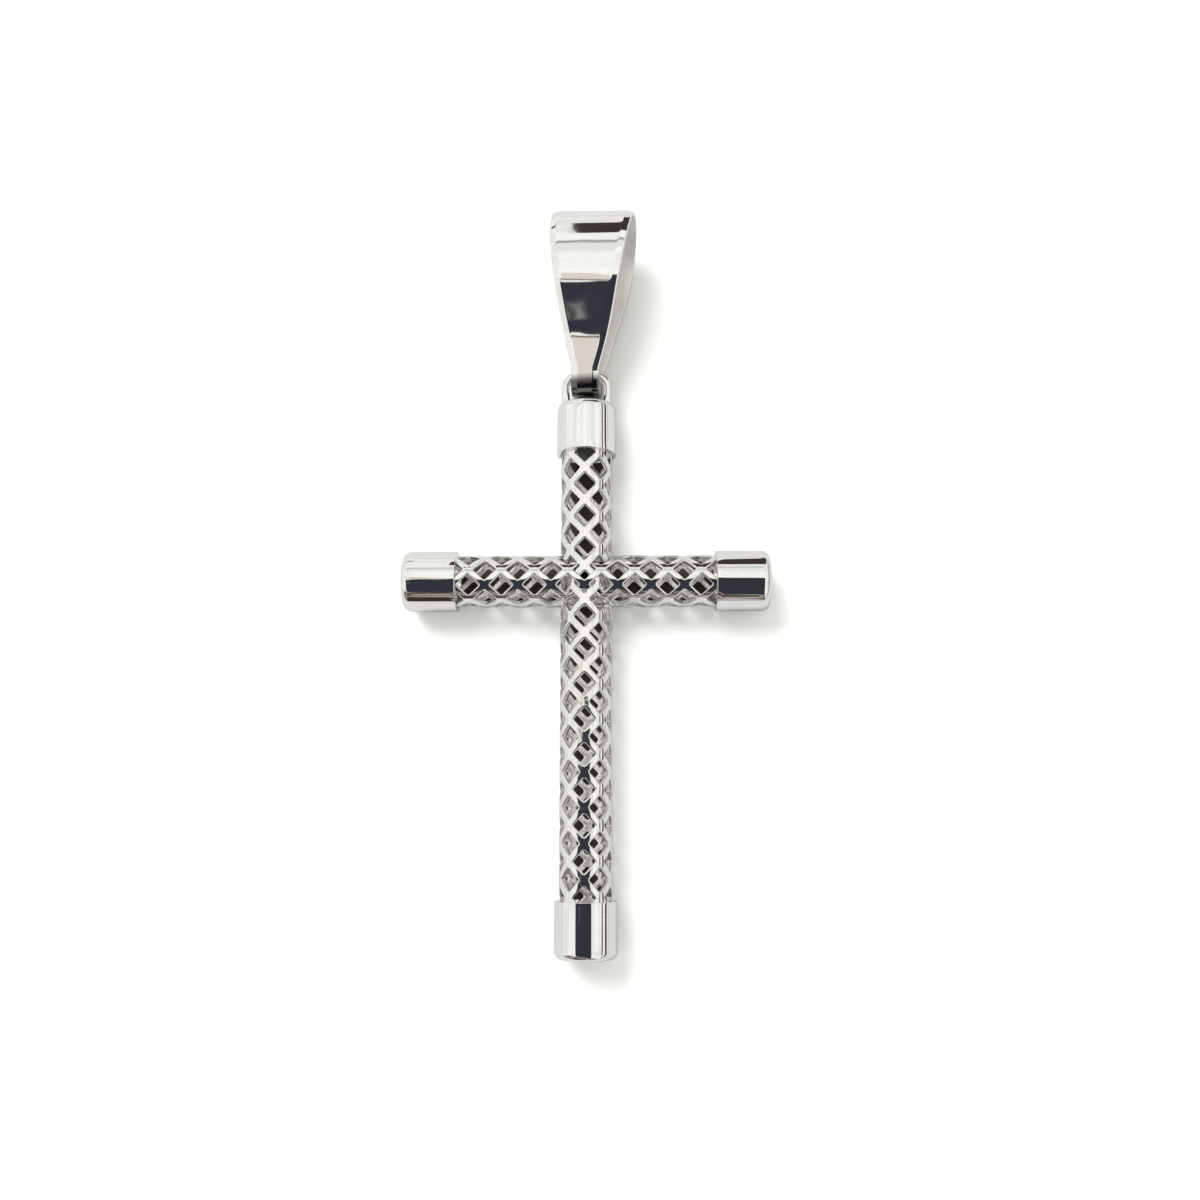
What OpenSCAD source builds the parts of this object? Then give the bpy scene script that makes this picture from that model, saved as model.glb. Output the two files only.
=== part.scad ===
// Cross pendant of polished silver, lying on its back: two lattice tubes that cross, a plain cap on
// each of the four ends, a fixed eye on the top cap and a folded, tapered bail hooked into it.
// Millimetres. X runs along the crossbar, Y up the cross towards the bail, Z up from the table.

/* [Cross] */
// Width over the two end caps of the crossbar
cross_width = 25.4; // [24:0.1:30]
// From the crossing up to the end of the top cap
head_reach = 12.85; // [12:0.05:14]
// From the crossing down to the end of the bottom cap
foot_reach = 25.35; // [24:0.05:30]

/* [Lattice tube] */
// Outer diameter of both lattice tubes
tube_d = 3.6; // [3.5:0.05:3.8]
// Thickness of the lattice wall
tube_wall = 0.4; // [0.3:0.05:0.45]
// Distance from one ring of openings to the next but one, along the upright
upright_pitch = 2.33; // [2.2:0.01:2.4]
// Place of the upright's ring of openings nearest the crossing, measured from the crossing
upright_shift = -0.39; // [-0.5:0.01:0.5]
// How far the upright's rows of openings are turned round its axis
upright_turn = 2.5; // [0:0.5:5]
// Distance from one ring of openings to the next but one, along the crossbar
arm_pitch = 2.28; // [2.2:0.01:2.4]
// Place of the crossbar's ring of openings nearest the crossing, measured from the crossing
arm_shift = -0.09; // [-0.5:0.01:0.5]
// How far the crossbar's rows of openings are turned round its axis
arm_turn = 17.5; // [0:0.5:30]
// Length of one diamond opening along its tube
opening_length = 1.52; // [1.1:0.02:1.56]
// Width of one diamond opening round its tube
opening_width = 1.46; // [0.9:0.02:1.5]

/* [End caps] */
// Outer diameter of a cap
cap_d = 4.2; // [4.1:0.05:4.6]
// Length of a cap
cap_length = 3.75; // [3.4:0.05:4]
// Rounding where a cap's side turns into its end
cap_round = 0.55; // [0.3:0.05:0.9]
// Thickness of a cap's end
cap_end = 0.5; // [0.4:0.05:0.8]
// How far a lattice tube reaches into its cap
cap_grip = 1.5; // [1.3:0.05:1.6]
// Gap all round between a cap's bore and the lattice tube
cap_gap = 0.02; // [0.01:0.005:0.04]

/* [Eye] */
// Wire diameter of the eye
eye_wire = 0.6; // [0.5:0.02:0.62]
// Width of the eye over the outside of its legs
eye_width = 3.66; // [3.6:0.02:3.7]
// From the end of the top cap up to the middle of the eye's bar
eye_rise = 2.25; // [2.2:0.01:2.5]
// Bending radius of the eye's corners, at the middle of the wire
eye_bend = 0.95; // [0.8:0.01:1]

/* [Bail] */
// Thickness of the bail's strap
strap = 0.35; // [0.3:0.01:0.36]
// Outer radius of the narrow fold that hooks round the eye
fold_r = 1.05; // [1:0.01:1.1]
// Outer radius of the wide roll at the top
roll_r = 2.4; // [2.2:0.05:2.6]
// How far the fold has slid down from the eye's bar towards the cap
fold_drop = 0.62; // [0.4:0.02:0.7]
// From the middle of the fold to the middle of the roll
bail_span = 10.2; // [9.8:0.05:10.6]
// Radius of the gentle belly between the flat sides and the roll
belly_r = 5.4; // [5:0.1:6]
// Half depth of the bail at its belly
belly_half = 2.85; // [2.75:0.01:2.95]
// Width of the strap at the fold
fold_width = 2; // [1.8:0.02:2]
// How far above the fold's middle the strap stays that narrow
fold_neck = 0.6; // [0.4:0.05:1]
// Width of the strap at the top of the roll
roll_width = 5.86; // [5.4:0.02:6]
// Radius of the long curve of the strap's side edges
edge_r = 55; // [50:1:90]
// How far the bail is turned round its own length
bail_turn = -7.5; // [-9:0.5:0]
// How far the bail's length leans from the upright, seen from above
bail_lean = -2.9; // [-4:0.1:0]
// How far the roll lies higher than the fold
bail_tilt = 7.4; // [7:0.1:10]

/* [Hidden] */
$fn = 64;

cap_r = cap_d / 2;
tube_r = tube_d / 2;
bore_r = tube_r - tube_wall;
cap_bore_r = tube_r + cap_gap;
eye_wire_r = eye_wire / 2;
// The middle of each eye leg stands this far from the upright's axis
eye_leg_x = eye_width / 2 - eye_wire_r;
bar_y = head_reach + eye_rise;
bail_reach = bar_y - fold_drop + bail_span * cos(bail_tilt) + roll_r
             + roll_width / 2 * sin(-bail_lean) * cos(bail_turn);
// The crossing's place, which puts the middle of the whole length at the origin
crossing_y = (foot_reach - bail_reach) / 2;
half_cross = cross_width / 2;
// In the bail's side view the fold is at the origin and the roll up the Y axis. On each side a
// straight flank leaves the fold, and a belly arc leads it into the roll.
belly_off = belly_r - belly_half;
belly_span = bail_span - sqrt(pow(belly_r - roll_r, 2) - pow(belly_off, 2));
flank_turn = atan2(belly_span, belly_off)
             - acos((belly_r - fold_r) / norm([belly_span, belly_off]));
// Each stretch of that outline is drawn in this far, so that it clearly crosses its neighbour
// where the two would only touch
crossing_lap = 0.001;
// The bail's front view is drawn in two parts that overlap this far above and below the neck
neck_lap = 0.3;
// The crossbar is parted from the hub just outside the upright
hub_half = tube_r + 0.05;
// A ring of openings is cut only where this much of the tube's end stays whole
end_collar = 0.2;
openings_round = 5;
opening_step = 360 / openings_round;
// A cutter starts inside the bore and ends outside the tube
cut_from = bore_r - 0.2;
cut_to = tube_r + 0.3;
past = 1;

// Lifts a piece drawn round the crossing to its place above the table
module at_crossing() {
    translate([0, crossing_y, cap_r]) children();
}

// One diamond cutter that stands on the tube's axis and leaves through the wall
module opening() {
    half_l = opening_length / 2;
    half_w = opening_width / 2;
    translate([0, 0, cut_from]) linear_extrude(cut_to - cut_from)
        polygon([[half_w, 0], [0, half_l], [-half_w, 0], [0, -half_l]]);
}

// A tube along Y from low to high, pierced by rings of five openings; each ring is set half a
// step round from the ring before it
module lattice(low, high, pitch, shift, turn) {
    first = ceil((low + opening_length / 2 + end_collar - shift) / pitch * 2);
    last = floor((high - opening_length / 2 - end_collar - shift) / pitch * 2);
    difference() {
        translate([0, high, 0]) rotate([90, 0, 0]) difference() {
            cylinder(r = tube_r, h = high - low);
            translate([0, 0, -past]) cylinder(r = bore_r, h = high - low + 2 * past);
        }
        for (ring = [first:last], j = [0:openings_round - 1])
            translate([0, shift + ring * pitch / 2, 0])
                rotate([0, turn + opening_step * (j + abs(ring % 2) / 2), 0]) opening();
    }
}

// The whole crossbar lattice, with Y turned into X
module crossbar() {
    reach = half_cross - cap_length + cap_grip;
    rotate([0, 0, -90]) lattice(-reach, reach, arm_pitch, arm_shift, -arm_turn);
}

// A block as wide as the cross, from x_low to x_high
module slab(x_low, x_high) {
    translate([x_low, -cap_d, -cap_d]) cube([x_high - x_low, 2 * cap_d, 2 * cap_d]);
}

module lattice_upright() {
    color("gainsboro") at_crossing() {
        lattice(cap_length - cap_grip - foot_reach, head_reach - cap_length + cap_grip,
                upright_pitch, upright_shift, -upright_turn);
        intersection() {
            crossbar();
            slab(-hub_half, hub_half);
        }
    }
}

module lattice_arm_left() {
    color("gainsboro") at_crossing() intersection() {
        crossbar();
        slab(-cross_width, -hub_half);
    }
}

module lattice_arm_right() {
    color("gainsboro") at_crossing() intersection() {
        crossbar();
        slab(hub_half, cross_width);
    }
}

// A cup that opens at z = 0 and ends, rounded, at z = cap_length
module cap() {
    rotate_extrude() difference() {
        union() {
            square([cap_r, cap_length - cap_round]);
            square([cap_r - cap_round, cap_length]);
            translate([cap_r - cap_round, cap_length - cap_round]) circle(cap_round);
        }
        translate([0, -past]) square([cap_bore_r, cap_length - cap_end + past]);
    }
}

// A quarter of a wire ring, bent from +X to +Y round the origin
module wire_bend() {
    intersection() {
        rotate_extrude() translate([eye_bend, 0]) circle(eye_wire_r);
        translate([0, 0, -eye_wire]) cube([2 * eye_bend, 2 * eye_bend, 2 * eye_wire]);
    }
}

// A stirrup of round wire that stands on the top cap, drawn with its bar's middle at the origin
module eye() {
    bar_half = eye_leg_x - eye_bend;
    rooted = cap_end / 2;
    translate([-bar_half, 0, 0]) rotate([0, 90, 0]) cylinder(r = eye_wire_r, h = 2 * bar_half);
    for (side = [0, 1]) mirror([side, 0, 0]) {
        translate([bar_half, -eye_bend, 0]) wire_bend();
        translate([eye_leg_x, -eye_bend, 0]) rotate([90, 0, 0])
            cylinder(r = eye_wire_r, h = eye_rise - eye_bend + rooted);
    }
}

module top_cap() {
    color("silver") at_crossing() {
        translate([0, head_reach - cap_length, 0]) rotate([-90, 0, 0]) cap();
        translate([0, bar_y, 0]) eye();
    }
}

module bottom_cap() {
    color("silver") at_crossing() translate([0, cap_length - foot_reach, 0]) rotate([90, 0, 0]) cap();
}

module left_cap() {
    color("silver") at_crossing() translate([cap_length - half_cross, 0, 0]) rotate([0, -90, 0]) cap();
}

module right_cap() {
    color("silver") at_crossing() translate([half_cross - cap_length, 0, 0]) rotate([0, 90, 0]) cap();
}

// The bail's filled side view, drawn in by the given inset
module bail_side(inset) {
    fold = fold_r - inset;
    fold_in = fold - crossing_lap;
    belly = belly_r - inset;
    belly_in = belly - 2 * crossing_lap;
    fold_corner = fold_in * [cos(flank_turn), -sin(flank_turn)];
    belly_corner = belly_in * [cos(flank_turn), -sin(flank_turn)] + [-belly_off, belly_span];
    belly_end = belly_span + belly * (bail_span - belly_span) / (belly_r - roll_r);
    circle(fold);
    translate([0, bail_span]) circle(roll_r - inset);
    polygon([fold_corner, belly_corner, [-belly_corner[0], belly_corner[1]],
             [-fold_corner[0], fold_corner[1]]]);
    intersection() {
        translate([-belly_off, belly_span]) circle(belly - crossing_lap, $fn = 180);
        translate([belly_off, belly_span]) circle(belly - crossing_lap, $fn = 180);
        translate([-belly_r, 0]) square([2 * belly_r, belly_end]);
    }
}

// The bail's front view: narrow and straight-sided at the fold, then widening along two long arcs
module bail_front() {
    top = bail_span + roll_r;
    rise = [roll_width / 2 - fold_width / 2, top - fold_neck];
    chord = norm(rise);
    sag_arm = sqrt(pow(edge_r, 2) - pow(chord / 2, 2));
    // The right-hand edge's centre stands to the left of the middle of its chord
    centre = [fold_width / 2, fold_neck] + rise / 2 + sag_arm / chord * [-rise[1], rise[0]];
    intersection() {
        translate(centre) circle(edge_r, $fn = 360);
        mirror([1, 0]) translate(centre) circle(edge_r, $fn = 360);
        translate([-roll_width, fold_neck - neck_lap]) square([2 * roll_width, top + past]);
    }
    translate([-fold_width / 2, -2 * fold_r])
        square([fold_width, 2 * fold_r + fold_neck + neck_lap]);
}

module bail() {
    color("whitesmoke") at_crossing() translate([0, bar_y - fold_drop, 0])
        rotate([0, 0, bail_lean]) rotate([bail_tilt, 0, 0]) rotate([0, bail_turn, 0])
            intersection() {
                rotate([0, 90, 0]) linear_extrude(2 * roll_width, center = true) difference() {
                    bail_side(0);
                    bail_side(strap);
                }
                translate([0, 0, -2 * belly_r]) linear_extrude(4 * belly_r) bail_front();
            }
}

lattice_upright();
lattice_arm_left();
lattice_arm_right();
top_cap();
bottom_cap();
left_cap();
right_cap();
bail();
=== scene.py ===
# %% [markdown]
# A cross pendant of polished silver, from above, lying on a pale table.
# The solids come packed from the bench drawing: they give every size, place and joint. This script
# keeps those places and makes what the eye sees: the rounded strips of the pierced tubes, the mirror
# caps, the wire eye, the folded bail, their finishes, and the light they lie in.
# Everything is drawn in millimetres and turned into Blender's metres only when a mesh is made.

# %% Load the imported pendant
import math

import bmesh
import bpy
import numpy as np
from mathutils import Matrix, Vector


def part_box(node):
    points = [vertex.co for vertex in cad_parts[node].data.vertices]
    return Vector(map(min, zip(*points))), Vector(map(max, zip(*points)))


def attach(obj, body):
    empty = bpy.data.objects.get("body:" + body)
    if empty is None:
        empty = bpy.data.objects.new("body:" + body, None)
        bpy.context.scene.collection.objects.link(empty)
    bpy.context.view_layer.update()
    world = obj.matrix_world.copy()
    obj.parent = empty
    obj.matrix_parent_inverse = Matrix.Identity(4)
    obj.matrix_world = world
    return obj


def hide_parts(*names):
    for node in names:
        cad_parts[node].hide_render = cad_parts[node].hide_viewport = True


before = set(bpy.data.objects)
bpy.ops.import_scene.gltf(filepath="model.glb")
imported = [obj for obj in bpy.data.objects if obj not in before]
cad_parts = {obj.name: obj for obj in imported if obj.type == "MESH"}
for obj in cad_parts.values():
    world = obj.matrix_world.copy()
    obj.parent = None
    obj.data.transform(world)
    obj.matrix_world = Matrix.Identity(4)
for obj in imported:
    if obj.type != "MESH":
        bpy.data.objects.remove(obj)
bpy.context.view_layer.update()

MM = 0.001
print("packed nodes:", sorted(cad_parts))

# %% [markdown]
# The places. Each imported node's box says where the piece is, so the tubes and caps go by the boxes.
# The crossbar's caps give the height of the tubes' axes and the point where the two tubes cross.

# %% Read the places of the caps and the crossing
def node_box(node):
    """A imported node's lowest and highest corner, in millimetres."""
    low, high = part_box(node)
    return np.array(low) / MM, np.array(high) / MM


left_low, left_high = node_box("left_cap")
right_low, right_high = node_box("right_cap")
top_low, top_high = node_box("top_cap")
bottom_low, bottom_high = node_box("bottom_cap")
crossing = np.array([0, (left_low[1] + left_high[1]) / 2, (left_low[2] + left_high[2]) / 2])
cap_radius = (left_high[2] - left_low[2]) / 2
cap_length = left_high[0] - left_low[0]
print("crossing at", crossing.round(3), "caps", round(cap_length, 3), "long, radius", round(cap_radius, 3))

# %% [markdown]
# The camera. The photo is a close view from above and a little from the foot of the cross: the bail
# is seen from below and the ends of the caps are narrow. A short working distance matters, because a
# mirror shows what stands where the camera is. The place and turn were fitted to the outline.

# %% Set the camera
CAMERA_PLACE = (2.16, -18.03, 83.73)
CAMERA_TURN = (10.96, 0.87, -0.18)
SENSOR = 36
LENS = 35.96
NEAREST = 1
FARTHEST = 10000

camera_data = bpy.data.cameras.new("camera")
camera_data.sensor_width = SENSOR
camera_data.lens = LENS
camera_data.clip_start = NEAREST * MM
camera_data.clip_end = FARTHEST * MM
camera = bpy.data.objects.new("camera", camera_data)
camera.location = Vector(CAMERA_PLACE) * MM
camera.rotation_mode = "YXZ"
camera.rotation_euler = [math.radians(turn) for turn in CAMERA_TURN]
bpy.context.scene.collection.objects.link(camera)
bpy.context.scene.camera = camera
print("camera", CAMERA_PLACE, "mm, lens", LENS)

# %% [markdown]
# A small kit for the node graphs. A finish is a graph of nodes, and wiring one by hand takes many
# lines, so one helper adds a node with its settings and its links in one go. Two more are for the
# kinds of node that come up most: a sum, and a ramp that turns a number into a colour.

# %% Helpers for node graphs
def add_node(tree, kind, inputs=None, **settings):
    """Adds a node. Inputs may be numbers, colours or another node's output."""
    node = tree.nodes.new(kind)
    for name, value in settings.items():
        setattr(node, name, value)
    for name, value in (inputs or {}).items():
        if isinstance(value, bpy.types.NodeSocket):
            tree.links.new(value, node.inputs[name])
        else:
            node.inputs[name].default_value = value
    return node


def calculate(tree, operation, *values):
    """The outcome of one sum with numbers or with other nodes' outputs."""
    return add_node(tree, "ShaderNodeMath", dict(enumerate(values)), operation=operation).outputs[0]


def add_ramp(tree, factor, stops):
    """A colour ramp from (position, colour) stops."""
    node = add_node(tree, "ShaderNodeValToRGB", {0: factor})
    ramp = node.color_ramp
    while len(ramp.elements) < len(stops):
        ramp.elements.new(1)
    for element, (position, colour) in zip(ramp.elements, stops):
        element.position = position
        element.color = (*colour, 1)
    return node.outputs[0]


# %% [markdown]
# The surroundings. Polished silver has next to no colour of its own: the photo's white sides, cream
# stripes and blue-black bands are the white tent that it lay in and the dark opening for the camera.
# An image of a studio would give such reflections, but a plain sky and a few plain cards give them
# too and say what they are. First the tent: light from all round, cream above, darker where it meets
# the table, and a little creased.

# %% Light the tent
TENT_TOP = (0.95, 0.94, 0.90)
TENT_SIDE = (0.90, 0.89, 0.86)
HORIZON = (0.42, 0.41, 0.39)
SIDE_FROM = 0.05
TOP_FROM = 0.5
CREASES = 0.14
CREASE_SCALE = 3.5
CREASE_DETAIL = 2.0
CREASE_LOW, CREASE_HIGH = 0.35, 0.65

world = bpy.data.worlds.new("tent")
bpy.context.scene.world = world
world.use_nodes = True
sky = world.node_tree
sky.nodes.clear()
direction = add_node(sky, "ShaderNodeTexCoord").outputs["Generated"]
upward = add_node(sky, "ShaderNodeSeparateXYZ", {0: direction}).outputs["Z"]
tent_colour = add_ramp(sky, upward, [(0.0, HORIZON), (SIDE_FROM, TENT_SIDE), (TOP_FROM, TENT_TOP)])
cloth = add_node(sky, "ShaderNodeTexNoise",
                 {"Vector": direction, "Scale": CREASE_SCALE, "Detail": CREASE_DETAIL})
crease = add_node(sky, "ShaderNodeMapRange",
                  {"Value": cloth.outputs["Fac"], "From Min": CREASE_LOW, "From Max": CREASE_HIGH,
                   "To Min": 1 - CREASES, "To Max": 1 + CREASES / 2})
background = add_node(sky, "ShaderNodeBackground", {"Color": tent_colour, "Strength": crease.outputs[0]})
add_node(sky, "ShaderNodeOutputWorld", {"Surface": background.outputs[0]})
print("tent made")

# %% [markdown]
# The table. It is plain white card, so a single flat face would do, were it not for the mirrors: in
# the photo they show the table darker than the camera sees it. One colour would be wrong for one of
# the two, so there are two tables. The camera sees the white one and the silver sees the grey one,
# which lies just above it.

# %% Lay the table and the one that the mirrors see
TABLE_HALF = 900
TABLE_WHITE = (0.93, 0.93, 0.935)
TABLE_ROUGHNESS = 0.9
TABLE_SHEEN = 0.1
MIRRORED_TABLE = (0.50, 0.50, 0.51)
MIRRORED_LIFT = 0.01


def finish_mesh(name, builder, materials):
    """Turns a bmesh drawn in millimetres into an object in metres."""
    mesh = bpy.data.meshes.new(name)
    bmesh.ops.scale(builder, vec=(MM, MM, MM), verts=builder.verts)
    builder.to_mesh(mesh)
    builder.free()
    for material in materials:
        mesh.materials.append(material)
    piece = bpy.data.objects.new(name, mesh)
    bpy.context.scene.collection.objects.link(piece)
    return piece


def plain_card(name, corners, material):
    """A thin flat card with any number of corners."""
    builder = bmesh.new()
    builder.faces.new([builder.verts.new(corner) for corner in corners])
    card = finish_mesh(name, builder, [material])
    return card


def hide_from(piece, *rays):
    """Hides a piece from some kinds of light ray, such as camera or glossy."""
    for ray in rays:
        setattr(piece, "visible_" + ray, False)


def rectangle(across, along):
    """The four corners of a rectangle, from its range across and its range along."""
    return [(across[0], along[0]), (across[1], along[0]), (across[1], along[1]), (across[0], along[1])]


def level(points, height):
    """Flat points laid at one height."""
    return [(x, y, height) for x, y in points]


def matt_finish(name, roughness, sheen):
    """A material of matt card and its shader, which still gets its colour."""
    material = bpy.data.materials.new(name)
    material.use_nodes = True
    shader = material.node_tree.nodes["Principled BSDF"]
    shader.inputs["Roughness"].default_value = roughness
    shader.inputs["Specular IOR Level"].default_value = sheen
    return material, shader


def table_plane(name, colour, height):
    """A level plane of matt card, far larger than the pendant."""
    material, shader = matt_finish(name, TABLE_ROUGHNESS, TABLE_SHEEN)
    shader.inputs["Base Color"].default_value = (*colour, 1)
    reach = (-TABLE_HALF, TABLE_HALF)
    return plain_card(name, level(rectangle(reach, reach), height), material)


table = table_plane("table", TABLE_WHITE, 0)
hide_from(table, "glossy")
mirrored_table = table_plane("mirrored_table", MIRRORED_TABLE, MIRRORED_LIFT)
hide_from(mirrored_table, "camera", "diffuse", "shadow", "transmission")
print("table", 2 * TABLE_HALF, "mm wide")

# %% [markdown]
# The deep shade under the pendant. Hardly any light gets in under the two pierced tubes and the eye,
# and the photo shows next to nothing but dark through the openings. The white table would come out
# too light there, so strips of dark card lie on it. They fade to the table's white at their edges,
# which makes them show less beside the tubes in a view from the side.

# %% Lay the three strips of shade
SHADE_COLOUR = (0.05, 0.043, 0.038)
SHADE_LIFT = 0.02
SHADE_HALF = 1.85
SHADE_FADE = 0.5
SHADE_SHIFT = 0.45
SHADE_UNDER_CAP = 1
EYE_SHADE_HALF = 1.3
EYE_SHADE_LENGTH = 3


def depth_inside(tree, place, span):
    """How far a place lies inside a span, in metres."""
    low, high = span[0] * MM, span[1] * MM
    off = calculate(tree, "SUBTRACT", place, (low + high) / 2)
    return calculate(tree, "SUBTRACT", (high - low) / 2, calculate(tree, "ABSOLUTE", off))


def shade_strip(name, across, along):
    """A strip of dark matt card on the table, that fades to the table's white at its edges."""
    material, shader = matt_finish(name, roughness=1, sheen=0)
    tree = material.node_tree
    place = add_node(tree, "ShaderNodeTexCoord").outputs["Object"]
    split = add_node(tree, "ShaderNodeSeparateXYZ", {0: place})
    depth = calculate(tree, "MINIMUM", depth_inside(tree, split.outputs["X"], across),
                      depth_inside(tree, split.outputs["Y"], along))
    share = calculate(tree, "DIVIDE", depth, SHADE_FADE * MM)
    colour = add_ramp(tree, share, [(0, TABLE_WHITE), (1, SHADE_COLOUR)])
    tree.links.new(colour, shader.inputs["Base Color"])
    plain_card(name, level(rectangle(across, along), SHADE_LIFT), material)
    print(name, "made")


shade_strip("shade_under_upright", (-SHADE_HALF, SHADE_HALF),
            (bottom_high[1] - SHADE_UNDER_CAP, top_low[1] + SHADE_UNDER_CAP))
shade_strip("shade_under_crossbar", (left_high[0] - SHADE_UNDER_CAP, right_low[0] + SHADE_UNDER_CAP),
            (crossing[1] + SHADE_SHIFT - SHADE_HALF, crossing[1] + SHADE_SHIFT + SHADE_HALF))
shade_strip("shade_under_eye", (-EYE_SHADE_HALF, EYE_SHADE_HALF),
            (top_high[1] - EYE_SHADE_LENGTH, top_high[1]))

# %% [markdown]
# The lamp. The photo's shadows fall to the right and to the foot, and they are soft, so one broad
# round lamp stands at the upper left. A sun lamp would give them one hard edge. The silver doesn't
# see the lamp, because the photo shows no clear image of one.

# %% Hang the lamp
LAMP_PLACE = (-190, 230, 330)
LAMP_SIZE = 300
LAMP_POWER = 1.9

lamp_data = bpy.data.lights.new("lamp", "AREA")
lamp_data.shape = "DISK"
lamp_data.size = LAMP_SIZE * MM
lamp_data.energy = LAMP_POWER
lamp = bpy.data.objects.new("lamp", lamp_data)
lamp.location = Vector(LAMP_PLACE) * MM
lamp.rotation_euler = (-Vector(LAMP_PLACE)).to_track_quat("-Z", "Y").to_euler()
hide_from(lamp, "glossy")
bpy.context.scene.collection.objects.link(lamp)
print("lamp at", LAMP_PLACE, "mm")

# %% [markdown]
# The cards that the mirrors see. Each dark band and thin line in the silver is one plain card in the
# tent: the opening for the camera, its hem, a seam, a slot, a dark cloth in front. The places were
# found by following the mirrored rays back from the bands in the photo. The cards shine in their own
# colour, so they look the same from everywhere and cast no light or shade on the table.

# %% Helpers for the cards
FOLD_DETAIL = 3.0
FOLD_FROM, FOLD_TO = 0.48, 0.62
CLOTH_FOLDS = (20, 20, 90)


def glow(name, colour, folds, stretch):
    """A finish that shines in its colour, whatever falls on it, with lighter folds if a colour is given."""
    material = bpy.data.materials.new(name)
    material.use_nodes = True
    tree = material.node_tree
    tree.nodes.clear()
    emission = add_node(tree, "ShaderNodeEmission", {"Color": (*colour, 1)})
    if folds:
        place = add_node(tree, "ShaderNodeTexCoord").outputs["Object"]
        drawn_out = add_node(tree, "ShaderNodeVectorMath", {0: place, 1: stretch}, operation="MULTIPLY")
        noise = add_node(tree, "ShaderNodeTexNoise",
                         {"Vector": drawn_out.outputs[0], "Scale": 1.0, "Detail": FOLD_DETAIL})
        folded = add_ramp(tree, noise.outputs["Fac"], [(FOLD_FROM, colour), (FOLD_TO, folds)])
        tree.links.new(folded, emission.inputs["Color"])
    add_node(tree, "ShaderNodeOutputMaterial", {"Surface": emission.outputs[0]})
    return material


def tent_card(name, corners, colour, folds=None, stretch=CLOTH_FOLDS):
    """A card that stands round the pendant and that only its mirrors see. stretch is how many folds
    it has to a metre along each axis."""
    card = plain_card(name, corners, glow(name, colour, folds, stretch))
    hide_from(card, "camera", "diffuse", "transmission", "shadow")
    print(name, "made")


# %% [markdown]
# The roof of the tent, just above the camera. The great dark opening makes the blue-black bands, and
# the hem, the flap, the seam and the panel make the paler stripes beside them. A grey patch hangs
# just under the opening and makes the grey reflection in the bail's dark band.

# %% Hang the cards in the roof
ROOF = 88
NEAR_ROOF = 87.5
OPENING_COLOUR = (0.032, 0.033, 0.047)
HEM_COLOUR = (0.14, 0.11, 0.05)
FLAP_COLOUR = (0.74, 0.69, 0.63)
SEAM_COLOUR = (0.40, 0.39, 0.38)
PANEL_COLOUR = (0.82, 0.82, 0.82)
PATCH_COLOUR = (0.05, 0.052, 0.055)
PATCH_FOLDS = (0.34, 0.34, 0.34)
PATCH_STRETCH = (500, 300, 60)
OPENING_OUTLINE = [(-62, -7), (-62, -100), (-28, -108), (90, -400), (38, -100), (32, -3.5), (12, 0.5),
                   (-6, 0.5), (-25, -4), (-30, -7)]
FLAP_OUTLINE = [(-34, -1.4), (-20, -1.4), (-25, 9), (-34, 9)]
PATCH_OUTLINE = [(-38, -30), (-31, -30), (-29.5, -22), (-38, -21)]

tent_card("camera_opening", level(OPENING_OUTLINE, ROOF), OPENING_COLOUR)
tent_card("opening_hem", level(rectangle((-62, -24), (-3.4, -1.4)), ROOF), HEM_COLOUR)
tent_card("warm_flap", level(FLAP_OUTLINE, ROOF), FLAP_COLOUR)
tent_card("roof_seam", level(rectangle((-80, 50), (71, 80)), ROOF), SEAM_COLOUR)
tent_card("roof_panel", level(rectangle((-80, 50), (49, 71)), ROOF), PANEL_COLOUR)
tent_card("grey_patch", level(PATCH_OUTLINE, NEAR_ROOF), PATCH_COLOUR, PATCH_FOLDS, PATCH_STRETCH)

# %% [markdown]
# The walls of the tent. Slots in the back wall and in the right wall make the dark band at the
# bail's roll and the thin dark lines along the caps, and the dark cloth in front makes the brown
# bands. The cloth is bent: it runs along the front wall and then away from the pendant.

# %% Stand the cards in the walls
BACK_WALL = 100
SIDE_WALL = 100
FRONT_WALL = -108
SLOT_COLOUR = (0.045, 0.035, 0.032)
FRONT_COLOUR = (0.045, 0.03, 0.022)
FRONT_FOLDS = (0.62, 0.55, 0.53)
BACK_SLOT_OUTLINE = [(-15.8, 38), (5, 38), (30, 10), (70, 4), (70, 76), (-24.5, 76)]
HIGH_LINE_OUTLINE = [(-80, 51), (90, 43), (90, 54), (-80, 62)]
FRONT_CLOTH_FOOT = [(-170, FRONT_WALL), (-5, FRONT_WALL), (120, -320)]


def on_back_wall(points):
    """Points given as (x, height), on the tent's back wall."""
    return [(x, BACK_WALL, z) for x, z in points]


def on_side_wall(points):
    """Points given as (y, height), on the tent's right wall."""
    return [(SIDE_WALL, y, z) for y, z in points]


tent_card("back_slot", on_back_wall(BACK_SLOT_OUTLINE), SLOT_COLOUR)
tent_card("back_line", on_back_wall(rectangle((-150, -30), (29, 35))), SLOT_COLOUR)
tent_card("side_line_low", on_side_wall(rectangle((-150, 150), (15, 30))), SLOT_COLOUR)
tent_card("side_line_high", on_side_wall(HIGH_LINE_OUTLINE), SLOT_COLOUR)
tent_card("front_cloth", level(FRONT_CLOTH_FOOT, 0) + level(FRONT_CLOTH_FOOT[::-1], ROOF),
          FRONT_COLOUR, FRONT_FOLDS)
bpy.context.scene.view_settings.view_transform = "Standard"

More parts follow.
